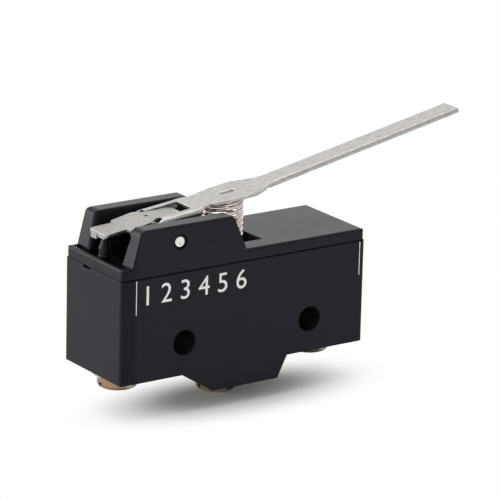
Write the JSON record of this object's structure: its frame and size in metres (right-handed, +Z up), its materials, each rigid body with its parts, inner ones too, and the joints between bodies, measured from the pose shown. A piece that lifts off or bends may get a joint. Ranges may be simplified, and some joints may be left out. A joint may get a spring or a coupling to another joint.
{
  "type": "hinge lever micro switch",
  "caption": "Snap-action basic switch in a dark case, with a long sprung steel lever hinged between two cheeks, a short leaf over a plunger, and screw terminals below.",
  "frame": {"origin": "midway between the two mounting-hole centres, half-way through the case's thickness", "axes": "+X towards the free end of the lever, +Y away from the marked side, +Z up, away from the terminals"},
  "size_m": [0.0735, 0.0174, 0.0435],
  "materials": {
    "case_plastic": "black phenolic moulding, fine satin",
    "cover_plastic": "black phenolic moulding, satin",
    "plunger_plastic": "dark grey moulding, smooth",
    "stainless": "rolled stainless sheet, dull",
    "pin_steel": "bright pin",
    "spring_wire": "copper-coloured drawn wire",
    "blade_copper": "beryllium copper strip",
    "contact_silver": "silver, smooth",
    "terminal_brass": "brass strip",
    "screw_brass": "yellow plated steel",
    "screw_green": "green and yellow plated steel",
    "screw_olive": "olive plated steel",
    "washer_zinc": "bright zinc"
  },
  "bodies": {
    "housing": {"case": "case_plastic", "cover": "cover_plastic", "hinge_pin": "pin_steel", "return_spring": "spring_wire", "upper_contact": "contact_silver", "lower_contact": "contact_silver", "common_terminal": "terminal_brass", "upper_terminal": "terminal_brass", "lower_terminal": "terminal_brass", "common_screw": "screw_brass", "lower_screw": "screw_green", "upper_screw": "screw_olive", "common_washer": "washer_zinc", "lower_washer": "washer_zinc", "upper_washer": "washer_zinc"},
    "lever": {"lever": "stainless", "plunger_leaf": "stainless"},
    "plunger": {"plunger": "plunger_plastic"},
    "snap_blade": {"snap_blade": "blade_copper", "moving_contact": "contact_silver"}
  },
  "joints": [
    {"name": "lever_hinge", "type": "hinge", "parent": "housing", "child": "lever", "pos_m": [-0.0137, 0, 0.01755], "axis": [0, 1, 0], "range_deg": [0, 10], "stiffness_Nm_per_rad": 0.15, "springref_deg": -11.46, "deforming": ["return_spring"]},
    {"name": "plunger_slide", "type": "slide", "parent": "housing", "child": "plunger", "axis": [0, 0, 1], "range_m": [0, 0.0012]},
    {"name": "blade_hinge", "type": "hinge", "parent": "housing", "child": "snap_blade", "pos_m": [-0.0225, 0, 0.00613], "axis": [0, -1, 0], "range_deg": [0, 1.35], "stiffness_Nm_per_rad": 0.001, "springref_deg": 7.16}
  ],
  "couplings": [
    {"joint": "plunger_slide", "follows": "lever_hinge", "m_per_rad": 0.00687},
    {"joint": "blade_hinge", "follows": "lever_hinge", "ratio": 0.13498}
  ]
}
